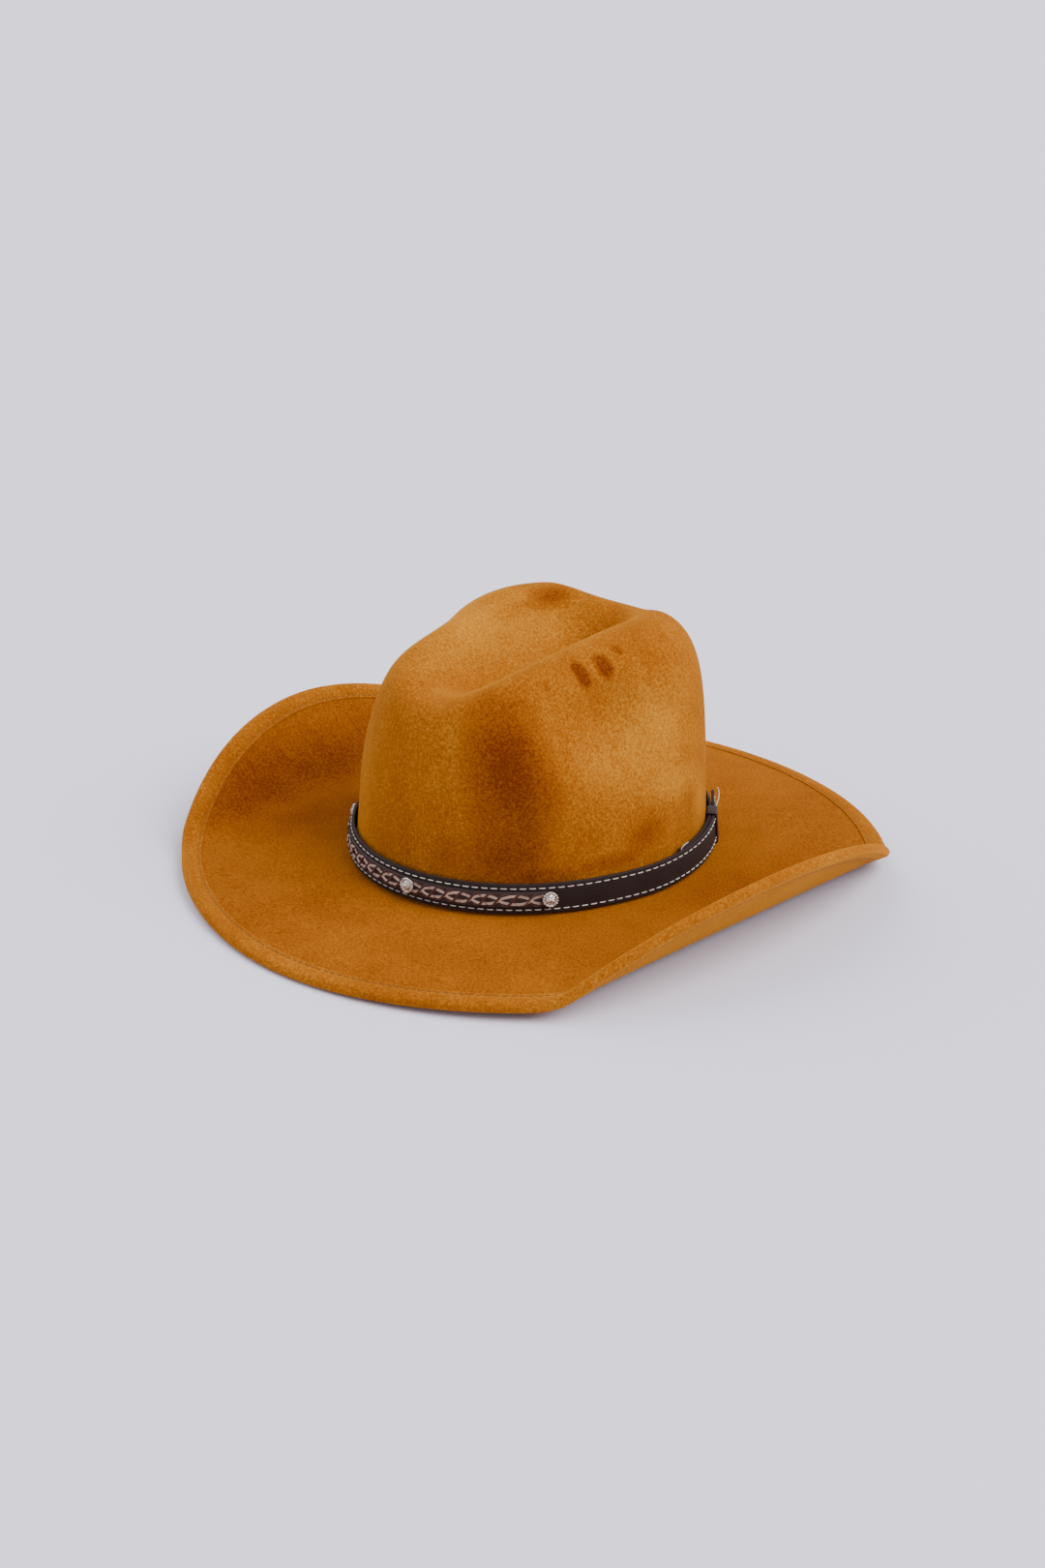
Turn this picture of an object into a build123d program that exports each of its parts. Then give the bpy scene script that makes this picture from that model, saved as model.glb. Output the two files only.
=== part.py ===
from build123d import *
from math import atan2, cos, degrees, exp, log1p, pi, radians, sin, sqrt
import os

# A felt-look western hat, worn size 58, standing on its brim.
# Millimetres. +Z up, the front of the hat faces -Y, +X is the wearer's left.
# The origin is under the middle of the hat, on the surface it stands on.
# Angles called "heading" run round the hat from the front (0) over the
# wearer's left (90) to the back (180), and are the direction a wall faces.

# ---- crown base oval, outer skin: end arcs at front and back, side arcs between
HALF_LENGTH = 99.5
HALF_WIDTH = 93.7
END_RADIUS = 88.0
SIDE_RADIUS = (HALF_LENGTH**2 - 2 * HALF_LENGTH * END_RADIUS + HALF_WIDTH**2) / (2 * (HALF_WIDTH - END_RADIUS))
END_CENTRE = HALF_LENGTH - END_RADIUS
SIDE_CENTRE = SIDE_RADIUS - HALF_WIDTH
ARC_JOIN = degrees(atan2(SIDE_CENTRE, END_CENTRE))

# ---- crown
BRIM_LEVEL = 10.58
CROWN_HEIGHT = 127.5
CROWN_SQUARENESS = 5.5
SQUARER_BACK = 1.1
SQUARER_ENDS = 1.5
LEAN_MEAN = 6.5
LEAN_FRONT = 5.9
FRONT_FALL = 6.8
FRONT_FALL_FROM = 45.0
FRONT_FALL_TO = -70.0
BACK_FALL = 18.6
BACK_FALL_FROM = 58.0
BACK_FALL_TO = 100.0
CREASE_DEPTH = 33.0
CREASE_HALF_WIDTH = 25.0
CREASE_FRONT = -80.0
CREASE_FRONT_FULL = -20.0
CREASE_BACK_FULL = 36.0
CREASE_BACK = 84.0
DENT_DEPTH = 12.5
DENT_Y = -14.0
DENT_HEIGHT = 91.0
DENT_LENGTH = 46.0
DENT_TALL = 27.0
SUEDE = 1.2
BUCKRAM = 1.0
SATIN = 0.4
LAYER_GAP = 0.1
BRIM_JOIN_GAP = 0.6
LINING_GAP = 0.6

# ---- brim, as a flat pattern whose sides are then rolled up
BRIM_HALF_LENGTH = 188.0
BRIM_HALF_WIDTH = 199.0
BRIM_ROUNDNESS = 1.92
ROLL_START = 140.0
ROLL_FLARE = 0.06
ROLL_RADIUS = 13.0
ROLL_SOFTNESS = 3.6
ROLL_ANGLE = 47.6
ROLL_TWIST = -2.3
END_DROP = 6.0
END_DROP_POWER = 3.8
COVER = 1.0
CORE = 2.0
BRIM_THICKNESS = 2 * COVER + CORE
BINDING_WIDTH = 9.0
BINDING = 1.0
NOSE = 2.2
FOLD_GAP = 0.25
EDGE_SETBACK = 1.8
WIRE_RADIUS = 0.8
THREAD_RADIUS = 0.4
STRAND_SIDES = 6
STITCH_INSET = 7.2

# ---- sweatband
SWEAT_THICKNESS = 1.2
SWEAT_HEIGHT = 36.0
SWEAT_GAP = 0.3
SWEAT_SEAM_RISE = 2.8
SWEAT_SEAM_HEIGHT = 0.6
TAPE_WIDTH = 11.0

# ---- hatband
STRAP_HEIGHT = 15.5
STRAP_THICKNESS = 1.7
STRAP_LIFT = 1.4
STRAP_GAP_LOW = 2.3
STRAP_GAP_HIGH = 1.6
LAP_CLEARANCE = 0.35
INNER_END = 97.0
LAP_FROM = 66.0
LAP_FULL = 90.0
TAIL_END = 143.0
FLARE_FROM = 135.0
FLARE_FULL = 147.0
TAIL_FLARE = 3.0
KEEPER_HEADING = 127.0
KEEPER_WIDTH = 10.5
KEEPER_LEATHER = 0.6
KEEPER_CLEARANCE = 0.45
SEAM_THREAD = 0.3
SEAM_INSET = 2.2
BRAID_HEIGHT = 8.0
BRAID_THICKNESS = 1.4
BRAID_FROM = -58.0
BRAID_TO = 52.0
CONCHO_HEADINGS = {"left": 52.0, "front": 6.0, "right": -58.0}
CONCHO_RADIUS = 4.2
CONCHO_RIM = 0.9
CONCHO_DOME = 2.7
CONCHO_SCALLOPS = 12
SCALLOP = 0.8
CONCHO_SHANK = 1.2

RING_POINTS = 32
BRIM_SECTIONS = 37
CORNER_CROWDING = 0.03
BRIM_STEPS = 14


def ease(low, high, value):
    """0 below low, 1 above high, smooth between"""
    t = min(max((value - low) / (high - low), 0.0), 1.0)
    return t * t * (3 - 2 * t)


def bell(distance, half_width, power=2.0):
    return exp(-((abs(distance) / half_width) ** power))


def oval_point(heading, offset=0.0):
    """the point of the base oval whose wall faces this heading, moved out by offset"""
    turn = radians(heading)
    east, south = sin(turn), cos(turn)
    if abs(east) * END_CENTRE > abs(south) * SIDE_CENTRE:
        side = 1 if east > 0 else -1
        reach = SIDE_RADIUS + offset
        return (reach * east - side * SIDE_CENTRE, -reach * south)
    end = 1 if south > 0 else -1
    reach = END_RADIUS + offset
    return (reach * east, -reach * south - end * END_CENTRE)


def oval_reach(turn):
    """distance from the middle to the base oval in the direction turn, in radians from the front"""
    east, south = abs(sin(turn)), abs(cos(turn))
    if atan2(east, south) > atan2(oval_point(ARC_JOIN)[0], -oval_point(ARC_JOIN)[1]):
        along = -east * SIDE_CENTRE
        return along + sqrt(along**2 - SIDE_CENTRE**2 + SIDE_RADIUS**2)
    along = south * END_CENTRE
    return along + sqrt(along**2 - END_CENTRE**2 + END_RADIUS**2)


def cross(a, b):
    return (a[1] * b[2] - a[2] * b[1], a[2] * b[0] - a[0] * b[2], a[0] * b[1] - a[1] * b[0])


def moved_along_normal(surface, u, v, distance):
    """a point of the surface moved along its normal, found from small steps"""
    step = 1e-3
    here = surface(u, v)
    du = [b - a for a, b in zip(surface(u - step, v), surface(u + step, v))]
    dv = [b - a for a, b in zip(surface(u, v - step), surface(u, v + step))]
    normal = cross(du, dv)
    size = sqrt(sum(n * n for n in normal))
    return tuple(p + distance * n / size for p, n in zip(here, normal))


def squareness(turn):
    """how squarely the crown's wall meets its top: more at the front and back than at the sides"""
    return CROWN_SQUARENESS - SQUARER_BACK * cos(turn) + SQUARER_ENDS * cos(2 * turn)


def crown_top(y):
    """height of the crown's top above the brim, without its crease"""
    front = FRONT_FALL * ease(FRONT_FALL_FROM, FRONT_FALL_TO, y)
    return CROWN_HEIGHT - front - BACK_FALL * ease(BACK_FALL_FROM, BACK_FALL_TO, y)


def crown_surface(turn, rise):
    """outer skin: rise runs from 0 at the base to 1 at the middle of the top"""
    slope = rise * pi / 2
    power = squareness(turn)
    scale = (abs(cos(slope)) ** power + abs(sin(slope)) ** power) ** (-1 / power)
    inward, upward = scale * cos(slope), scale * sin(slope)
    lean = LEAN_MEAN + LEAN_FRONT * cos(turn)
    reach = (oval_reach(turn) - lean * upward) * inward
    x, y = reach * sin(turn), -reach * cos(turn)
    z = crown_top(y) * upward
    window = ease(CREASE_FRONT, CREASE_FRONT_FULL, y) * ease(CREASE_BACK, CREASE_BACK_FULL, y)
    z -= CREASE_DEPTH * bell(x, CREASE_HALF_WIDTH, 2.2) * window * ease(0.7, 0.95, upward)
    dent = DENT_DEPTH * bell(y - DENT_Y, DENT_LENGTH) * bell(z - DENT_HEIGHT, DENT_TALL) * ease(20, 60, abs(x))
    x -= dent if x > 0 else -dent
    return (x, y, z + BRIM_LEVEL)


def even_spline(points):
    """a spline through points at even steps, so that neighbouring ones match"""
    last = len(points) - 1
    return Edge.make_spline(points, parameters=[k / last for k in range(last + 1)])


def closed_spline(points):
    count = len(points)
    return Wire([Edge.make_spline(points, periodic=True, parameters=[k / count for k in range(count + 1)])])


def crown_block(inset):
    """the solid inside the crown's outer skin moved in by inset, down to the brim's underside"""
    rises = [0.0, 0.05, 0.12, 0.22, 0.33, 0.42, 0.5, 0.57, 0.64, 0.72, 0.8, 0.88, 0.95]
    turns = [2 * pi * k / RING_POINTS for k in range(RING_POINTS)]
    foot = [moved_along_normal(crown_surface, t, 0.0, -inset)[:2] for t in turns]
    rings = [[(x, y, BRIM_LEVEL - BRIM_THICKNESS) for x, y in foot], [(x, y, BRIM_LEVEL) for x, y in foot]]
    for rise in rises[1:]:
        rings.append([moved_along_normal(crown_surface, t, rise, -inset) for t in turns])
    wires = [closed_spline([Vector(*p) for p in ring]) for ring in rings]
    middle = crown_surface(0.0, 1.0)
    return Solid.make_loft(wires + [Vertex(0, 0, middle[2] - inset)])


def crown_layer(outer, inner):
    return crown_block(outer) - crown_block(inner)


def brim_surface(turn, out):
    """top face of the brim: out runs from 0 at the crown to 1 at the edge"""
    rim = (abs(cos(turn) / BRIM_HALF_LENGTH) ** BRIM_ROUNDNESS + abs(sin(turn) / BRIM_HALF_WIDTH) ** BRIM_ROUNDNESS)
    rim = rim ** (-1 / BRIM_ROUNDNESS)
    start = oval_reach(turn) + BRIM_JOIN_GAP
    reach = start + (rim - start) * out
    x, y = reach * sin(turn), -reach * cos(turn)
    side = 1 if x > 0 else -1
    past = abs(x) - (ROLL_START + ROLL_FLARE * y)
    rolled = ROLL_SOFTNESS * (max(past / ROLL_SOFTNESS, 0) + log1p(exp(-abs(past / ROLL_SOFTNESS))))
    angle = radians(ROLL_ANGLE + ROLL_TWIST * y / 100)
    bent = min(rolled, ROLL_RADIUS * angle)
    flat = rolled - bent
    across = ROLL_RADIUS * sin(bent / ROLL_RADIUS) + flat * cos(angle)
    up = ROLL_RADIUS * (1 - cos(bent / ROLL_RADIUS)) + flat * sin(angle)
    drop = END_DROP * (abs(y) / BRIM_HALF_LENGTH) ** END_DROP_POWER * sqrt(max(out, 0.0))
    return (side * (abs(x) - rolled + across), y, BRIM_LEVEL + up - drop)


def brim_at(turn, out, lift):
    """a point lift above the brim's top face, measured square to it"""
    return Vector(*moved_along_normal(brim_surface, turn, out, -lift))


def near_edge(turn, inset, lift):
    """a point inset from the brim's edge, following the brim's curve, and lift above its top face"""
    edge = Vector(*brim_surface(turn, 1.0))
    inner = Vector(*brim_surface(turn, 0.98))
    pitch = (inner - edge).length / 0.02
    if inset > 0:
        return brim_at(turn, 1 - inset / pitch, lift)
    return brim_at(turn, 1.0, lift) + (inner - edge).normalized() * inset


def ring_solid(section):
    """lofts section(turn) round the wearer's left half and mirrors it to the right half"""
    shares = [k / (BRIM_SECTIONS - 1) for k in range(BRIM_SECTIONS)]
    turns = [pi * (s + CORNER_CROWDING * sin(4 * pi * s)) for s in shares]
    half = Solid.make_loft([section(t) for t in turns], True)
    return half + half.mirror(Plane.YZ)


def strip_wire(upper, lower):
    """closed outline of a strip from its two long sides, both listed from the inside out"""
    edges = [
        even_spline(upper),
        Edge.make_line(upper[-1], lower[-1]),
        even_spline(lower[::-1]),
        Edge.make_line(lower[0], upper[0]),
    ]
    return Wire(edges)


def brim_layer(top, bottom):
    def section(turn):
        rim = Vector(*brim_surface(turn, 1.0)) - Vector(*brim_surface(turn, 0.98))
        last = 1 - 0.02 * EDGE_SETBACK / rim.length
        outs = [last * k / (BRIM_STEPS - 1) for k in range(BRIM_STEPS)]
        return strip_wire([brim_at(turn, s, -top) for s in outs], [brim_at(turn, s, -bottom) for s in outs])

    return ring_solid(section)


def strand_round_edge(inset, lift, radius):
    """a thin strand that follows the brim's edge, inset from it and lift above the top face"""
    around = [2 * pi * k / STRAND_SIDES for k in range(STRAND_SIDES)]

    def section(turn):
        corners = [near_edge(turn, inset + radius * cos(a), lift + radius * sin(a)) for a in around]
        return Wire.make_polygon(corners, close=True)

    return ring_solid(section)


def brim_binding():
    """strip of the same cloth folded over the brim's edge"""
    low = -BRIM_THICKNESS
    middle = low / 2
    outside = [
        (BINDING_WIDTH, BINDING),
        (0.45 * BINDING_WIDTH, BINDING),
        (0.3, 0.5),
        (-NOSE, middle),
        (0.3, low - 0.5),
        (0.45 * BINDING_WIDTH, low - BINDING),
        (BINDING_WIDTH, low - BINDING),
    ]
    inside = [
        (BINDING_WIDTH, FOLD_GAP),
        (0.45 * BINDING_WIDTH, FOLD_GAP),
        (0.6, FOLD_GAP - 0.1),
        (BINDING - NOSE, middle),
        (0.6, low - FOLD_GAP + 0.1),
        (0.45 * BINDING_WIDTH, low - FOLD_GAP),
        (BINDING_WIDTH, low - FOLD_GAP),
    ]

    def section(turn):
        upper = [near_edge(turn, a, b) for a, b in outside]
        lower = [near_edge(turn, a, b) for a, b in inside]
        return strip_wire(upper, lower)

    return ring_solid(section)


def wall_point(heading, height, offset):
    """a point beside the crown's wall, height above the brim and offset out from the skin"""
    x, y = oval_point(heading, offset)
    turn = atan2(x, -y)
    upward = max(height, 0.0) / crown_top(y)
    power = squareness(turn)
    inward = (1 - upward**power) ** (1 / power)
    lean = LEAN_MEAN + LEAN_FRONT * cos(turn)
    reach = (sqrt(x * x + y * y) - lean * upward) * inward
    return Vector(reach * sin(turn), -reach * cos(turn), BRIM_LEVEL + height)


def strap_step(heading):
    """how far the strap stands out where its tail laps over its other end, and where the tail springs off"""
    lap = (STRAP_THICKNESS + LAP_CLEARANCE) * ease(360 + LAP_FROM, 360 + LAP_FULL, heading)
    return lap + TAIL_FLARE * ease(360 + FLARE_FROM, 360 + FLARE_FULL, heading)


def strap_point(heading, height, out):
    """a point beside the hatband: height above the strap's lower edge, out from its inner face"""
    low = wall_point(heading, 0.0, STRAP_GAP_LOW)
    high = wall_point(heading, STRAP_LIFT + STRAP_HEIGHT, STRAP_GAP_HIGH)
    share = height / STRAP_HEIGHT
    facing = Vector(sin(radians(heading)), -cos(radians(heading)), 0)
    flat = low + (high - low) * share + facing * (out + strap_step(heading))
    return Vector(flat.X, flat.Y, BRIM_LEVEL + STRAP_LIFT + height)


def strap_ribbon(start, end, low, high, inner, outer):
    """a ribbon that follows the hatband between two headings, two heights and two depths"""
    count = max(3, round(abs(end - start) / 7))
    headings = [start + (end - start) * k / count for k in range(count + 1)]

    def outline(height):
        face = [strap_point(h, height, outer) for h in headings]
        back = [strap_point(h, height, inner) for h in headings]
        return strip_wire(face, back)

    return Solid.make_loft([outline(low), outline(high)], True)


def concho_frame(heading):
    """plane on the hatband's outer face at mid height, its z axis pointing out of the face"""
    middle = strap_point(heading, STRAP_HEIGHT / 2, STRAP_THICKNESS)
    above = strap_point(heading, STRAP_HEIGHT / 2 + 1, STRAP_THICKNESS)
    beside = Vector(cos(radians(heading)), sin(radians(heading)), 0)
    return Plane(origin=middle, x_dir=beside, z_dir=beside.cross(above - middle))


def shank_hole(heading):
    return concho_frame(heading) * Cylinder(CONCHO_SHANK / 2 + 0.05, 12)


def concho(heading):
    """domed stud with a scalloped rim, riveted through braid and strap"""
    seat = BRAID_THICKNESS + 0.1
    outline = Circle(CONCHO_RADIUS - SCALLOP)
    outline += PolarLocations(CONCHO_RADIUS - SCALLOP, CONCHO_SCALLOPS) * Circle(SCALLOP)
    rim = extrude(Pos(0, 0, seat) * outline, CONCHO_RIM)
    dome = Pos(0, 0, seat) * Sphere(CONCHO_DOME) & Pos(0, 0, seat + 2) * Cylinder(CONCHO_RADIUS, 3.4)
    foot = -STRAP_THICKNESS - 0.5
    shank = Pos(0, 0, (seat + 0.4 + foot) / 2) * Cylinder(CONCHO_SHANK / 2, seat + 0.4 - foot)
    peened = Pos(0, 0, foot + 0.2) * Cylinder(CONCHO_SHANK, 0.4)
    return concho_frame(heading) * (rim + dome + shank + peened)


def hatband_strap():
    strap = strap_ribbon(INNER_END, 360 + TAIL_END, 0, STRAP_HEIGHT, 0, STRAP_THICKNESS)
    for heading in CONCHO_HEADINGS.values():
        strap -= shank_hole(heading)
    return strap


def hatband_stitching(height):
    """one row of thread along the strap's outer face, short of both ends"""
    return strap_ribbon(
        INNER_END + 50,
        360 + TAIL_END - 2,
        height - SEAM_THREAD,
        height + SEAM_THREAD,
        STRAP_THICKNESS + 0.02,
        STRAP_THICKNESS + 0.3,
    )


def hatband_braid():
    low = (STRAP_HEIGHT - BRAID_HEIGHT) / 2
    face = STRAP_THICKNESS + 0.02
    braid = strap_ribbon(360 + BRAID_FROM, 360 + BRAID_TO, low, low + BRAID_HEIGHT, face, face + BRAID_THICKNESS)
    for heading in CONCHO_HEADINGS.values():
        braid -= shank_hole(heading)
    return braid


def keeper_block(grow, spread):
    """the room taken by both layers of strap at the keeper, grown on four sides"""
    half = degrees(KEEPER_WIDTH / 2 / SIDE_RADIUS) + spread
    heading = 360 + KEEPER_HEADING
    inner = -STRAP_THICKNESS - LAP_CLEARANCE
    return strap_ribbon(
        heading - half, heading + half, -grow, STRAP_HEIGHT + grow, inner - grow, STRAP_THICKNESS + grow
    )


def hatband_keeper():
    """leather loop round both layers of the strap"""
    return keeper_block(KEEPER_CLEARANCE + KEEPER_LEATHER, 0) - keeper_block(KEEPER_CLEARANCE, 1.0)


def crown_wall_band(low, high, outer, inner):
    """a band that follows the crown's wall on the inside, between two heights above the brim"""
    turns = [360 * k / RING_POINTS for k in range(RING_POINTS)]

    def body(offset):
        rings = []
        for height in (low, (low + high) / 2, high):
            points = [wall_point(h, height, -offset) for h in turns]
            rings.append(closed_spline(points))
        return Solid.make_loft(rings)

    return body(outer) - body(inner)


LINING_OUTSIDE = SUEDE + LAYER_GAP + BUCKRAM + LINING_GAP
SWEAT_OUTSIDE = LINING_OUTSIDE + SATIN + SWEAT_GAP
SWEAT_INSIDE = SWEAT_OUTSIDE + SWEAT_THICKNESS


def sweatband():
    return crown_wall_band(-BRIM_THICKNESS, SWEAT_HEIGHT - BRIM_THICKNESS, SWEAT_OUTSIDE, SWEAT_INSIDE)


def sweatband_stitching():
    """the row of thread low on the sweatband's inner face"""
    face = crown_wall_band(-BRIM_THICKNESS, SWEAT_HEIGHT - BRIM_THICKNESS, SWEAT_INSIDE + 0.05, SWEAT_INSIDE + 0.4)
    level = BRIM_LEVEL - BRIM_THICKNESS + SWEAT_SEAM_RISE
    return face & Pos(0, 0, level) * Box(3 * HALF_WIDTH, 3 * HALF_LENGTH, SWEAT_SEAM_HEIGHT)


def sweatband_seam_tape():
    """short upright tape over the sweatband's seam at the back"""
    band = crown_wall_band(4 - BRIM_THICKNESS, SWEAT_HEIGHT - BRIM_THICKNESS - 1, SWEAT_INSIDE + 0.45, SWEAT_INSIDE + 1.1)
    return band & Pos(0, HALF_LENGTH, SWEAT_HEIGHT / 2) * Box(TAPE_WIDTH, 2 * TAPE_WIDTH + 20, 2 * SWEAT_HEIGHT)


def parts():
    top, core, under = COVER, COVER + CORE, BRIM_THICKNESS
    yield "crown_cover", crown_layer(0, SUEDE)
    yield "crown_stiffener", crown_layer(SUEDE + LAYER_GAP, SUEDE + LAYER_GAP + BUCKRAM)
    yield "crown_lining", crown_layer(LINING_OUTSIDE, LINING_OUTSIDE + SATIN)
    yield "brim_top_cover", brim_layer(0, top)
    yield "brim_core", brim_layer(top + LAYER_GAP, core - LAYER_GAP)
    yield "brim_under_cover", brim_layer(core, under)
    yield "brim_binding", brim_binding()
    yield "brim_wire", strand_round_edge(0.3, -BRIM_THICKNESS / 2, WIRE_RADIUS)
    yield "binding_stitching_top", strand_round_edge(STITCH_INSET, BINDING + 0.42, THREAD_RADIUS)
    yield "binding_stitching_bottom", strand_round_edge(STITCH_INSET, -BRIM_THICKNESS - BINDING - 0.42, THREAD_RADIUS)
    yield "sweatband", sweatband()
    yield "sweatband_stitching", sweatband_stitching()
    yield "sweatband_seam_tape", sweatband_seam_tape()
    yield "hatband_strap", hatband_strap()
    yield "hatband_stitching_upper", hatband_stitching(STRAP_HEIGHT - SEAM_INSET)
    yield "hatband_stitching_lower", hatband_stitching(SEAM_INSET)
    yield "hatband_braid", hatband_braid()
    for place, heading in CONCHO_HEADINGS.items():
        yield "concho_" + place, concho(heading)
    yield "hatband_keeper", hatband_keeper()


if __name__ == "__main__":
    os.makedirs("parts", exist_ok=True)
    for name, shape in parts():
        export_step(shape, f"parts/{name}.step")
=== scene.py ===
from math import atan2, cos, pi, radians, sin, sqrt

import bmesh
import bpy
import numpy as np
from mathutils import Matrix, Vector


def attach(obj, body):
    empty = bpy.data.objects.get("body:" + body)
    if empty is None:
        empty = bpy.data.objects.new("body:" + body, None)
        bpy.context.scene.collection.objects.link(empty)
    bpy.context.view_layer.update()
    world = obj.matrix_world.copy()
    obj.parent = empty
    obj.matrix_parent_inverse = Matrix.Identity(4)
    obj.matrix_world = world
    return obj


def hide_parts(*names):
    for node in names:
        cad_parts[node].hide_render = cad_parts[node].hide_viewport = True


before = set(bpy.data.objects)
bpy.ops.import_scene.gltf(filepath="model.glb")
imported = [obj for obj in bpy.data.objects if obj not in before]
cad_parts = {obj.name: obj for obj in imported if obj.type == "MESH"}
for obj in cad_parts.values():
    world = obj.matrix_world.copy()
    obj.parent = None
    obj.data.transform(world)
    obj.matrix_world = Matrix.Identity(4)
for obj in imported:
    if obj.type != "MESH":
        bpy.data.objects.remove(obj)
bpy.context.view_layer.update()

# The hat stands on its brim with its front towards -Y. Metres.
# Headings run round it from the front (0) over the wearer's left (90).
MM = 0.001

# ---- crown base oval: end arcs at front and back, side arcs between
HALF_LENGTH = 99.5 * MM
HALF_WIDTH = 93.7 * MM
END_RADIUS = 88.0 * MM
SIDE_RADIUS = HALF_LENGTH**2 - 2 * HALF_LENGTH * END_RADIUS + HALF_WIDTH**2
SIDE_RADIUS /= 2 * (HALF_WIDTH - END_RADIUS)
END_CENTRE = HALF_LENGTH - END_RADIUS
SIDE_CENTRE = SIDE_RADIUS - HALF_WIDTH

# ---- crown
BRIM_LEVEL = 10.58 * MM
CROWN_HEIGHT = 127.5 * MM
CROWN_SQUARENESS = 5.5
SQUARER_BACK = 1.1
SQUARER_ENDS = 1.5
LEAN_MEAN = 6.5 * MM
LEAN_FRONT = 5.9 * MM
FRONT_FALL = 6.8 * MM
FRONT_FALL_FROM = 45.0 * MM
FRONT_FALL_TO = -70.0 * MM
BACK_FALL = 18.6 * MM
BACK_FALL_FROM = 58.0 * MM
BACK_FALL_TO = 100.0 * MM
CREASE_DEPTH = 33.0 * MM
CREASE_HALF_WIDTH = 25.0 * MM
CREASE_BOWL = 2.2
CREASE_FRONT = -114.0 * MM
CREASE_FRONT_FULL = -10.0 * MM
CREASE_BACK_FULL = 36.0 * MM
CREASE_BACK = 84.0 * MM
CREASE_RIM = 0.7
CREASE_RIM_FULL = 0.95
DENT_DEPTH = 12.5 * MM
DENT_Y = -14.0 * MM
DENT_HEIGHT = 91.0 * MM
DENT_LENGTH = 46.0 * MM
DENT_TALL = 27.0 * MM
DENT_INSIDE = 20.0 * MM
DENT_OUTSIDE = 60.0 * MM
PINCH_DEPTH = 6.0 * MM
PINCH_Y = -22.0 * MM
PINCH_LENGTH = 26.0 * MM
PINCH_CRISPNESS = 3.0
SUEDE = 1.2 * MM
BUCKRAM = 1.0 * MM
SATIN = 0.4 * MM
LAYER_GAP = 0.1 * MM
LINING_GAP = 0.6 * MM

# ---- brim
BRIM_JOIN_GAP = 0.6 * MM
BRIM_HALF_LENGTH = 188.0 * MM
BRIM_HALF_WIDTH = 199.0 * MM
BRIM_ROUNDNESS = 1.92
ROLL_START = 140.0 * MM
ROLL_FLARE = 0.06
ROLL_RADIUS = 13.0 * MM
ROLL_SOFTNESS = 3.6 * MM
ROLL_ANGLE = 47.6
ROLL_TWIST = -23.0
END_DROP = 6.0 * MM
END_DROP_POWER = 3.8
COVER = 1.0 * MM
BRIM_THICKNESS = 4.0 * MM
BINDING_WIDTH = 9.0 * MM
BINDING = 1.0 * MM
NOSE = 2.2 * MM
FOLD_GAP = 0.25 * MM
EDGE_SETBACK = 1.8 * MM
EDGE_STEP = 0.02
STITCH_INSET = 7.2 * MM
STITCH_LIFT_TOP = 0.24 * MM
STITCH_LIFT_BOTTOM = 0.14 * MM
WIRE_RADIUS = 0.8 * MM
WIRE_INSET = 0.3 * MM

# ---- sweatband and hatband
SWEAT_THICKNESS = 1.2 * MM
SWEAT_HEIGHT = 36.0 * MM
SWEAT_GAP = 0.3 * MM
SWEAT_SEAM_RISE = 2.8 * MM
STRAP_HEIGHT = 15.5 * MM
STRAP_THICKNESS = 1.7 * MM
STRAP_LIFT = 1.4 * MM
STRAP_GAP_LOW = 2.3 * MM
STRAP_GAP_HIGH = 1.6 * MM
LAP_CLEARANCE = 0.35 * MM
INNER_END = 97.0
LAP_FROM = 66.0
LAP_FULL = 90.0
TAIL_END = 143.0
FLARE_FROM = 135.0
FLARE_FULL = 147.0
TAIL_FLARE = 3.0 * MM
KEEPER_HEADING = 127.0
KEEPER_WIDTH = 10.5 * MM
KEEPER_LEATHER = 0.6 * MM
KEEPER_CLEARANCE = 0.45 * MM
SEAM_INSET = 2.2 * MM
BRAID_FROM = -58.0
BRAID_TO = 52.0
CONCHO_HEADINGS = {"left": 52.0, "front": 6.0, "right": -58.0}
CONCHO_RADIUS = 4.2 * MM
BRAID_THICKNESS = 1.4 * MM
BRAID_HEIGHT = 8.0 * MM
BRAID_PITCH = 14.5 * MM
BRAID_BED = 0.9 * MM

# ---- camera, as the hat is seen
VIEW_HEADING = 43.93
VIEW_ELEVATION = 22.71
VIEW_DISTANCE = 1.2008
VIEW_RIGHT = -5.1 * MM
VIEW_UP = 28.8 * MM
VIEW_ROLL = -0.62
LENS = 50.0
SENSOR = 36.0


# =============================================================== shapes
def ease(low, high, value):
    t = np.clip((np.asarray(value, float) - low) / (high - low), 0.0, 1.0)
    return t * t * (3 - 2 * t)


def bell(distance, half_width, power=2.0):
    return np.exp(-((np.abs(distance) / half_width) ** power))


def oval_point(heading, offset=0.0):
    """points of the base oval whose wall faces these headings, moved out by offset"""
    turn = np.radians(heading)
    east, south = np.sin(turn), np.cos(turn)
    on_side = np.abs(east) * END_CENTRE > np.abs(south) * SIDE_CENTRE
    side, end = np.where(east > 0, 1, -1), np.where(south > 0, 1, -1)
    x = np.where(on_side, (SIDE_RADIUS + offset) * east - side * SIDE_CENTRE, (END_RADIUS + offset) * east)
    y = np.where(on_side, -(SIDE_RADIUS + offset) * south, -(END_RADIUS + offset) * south - end * END_CENTRE)
    return x, y


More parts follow.
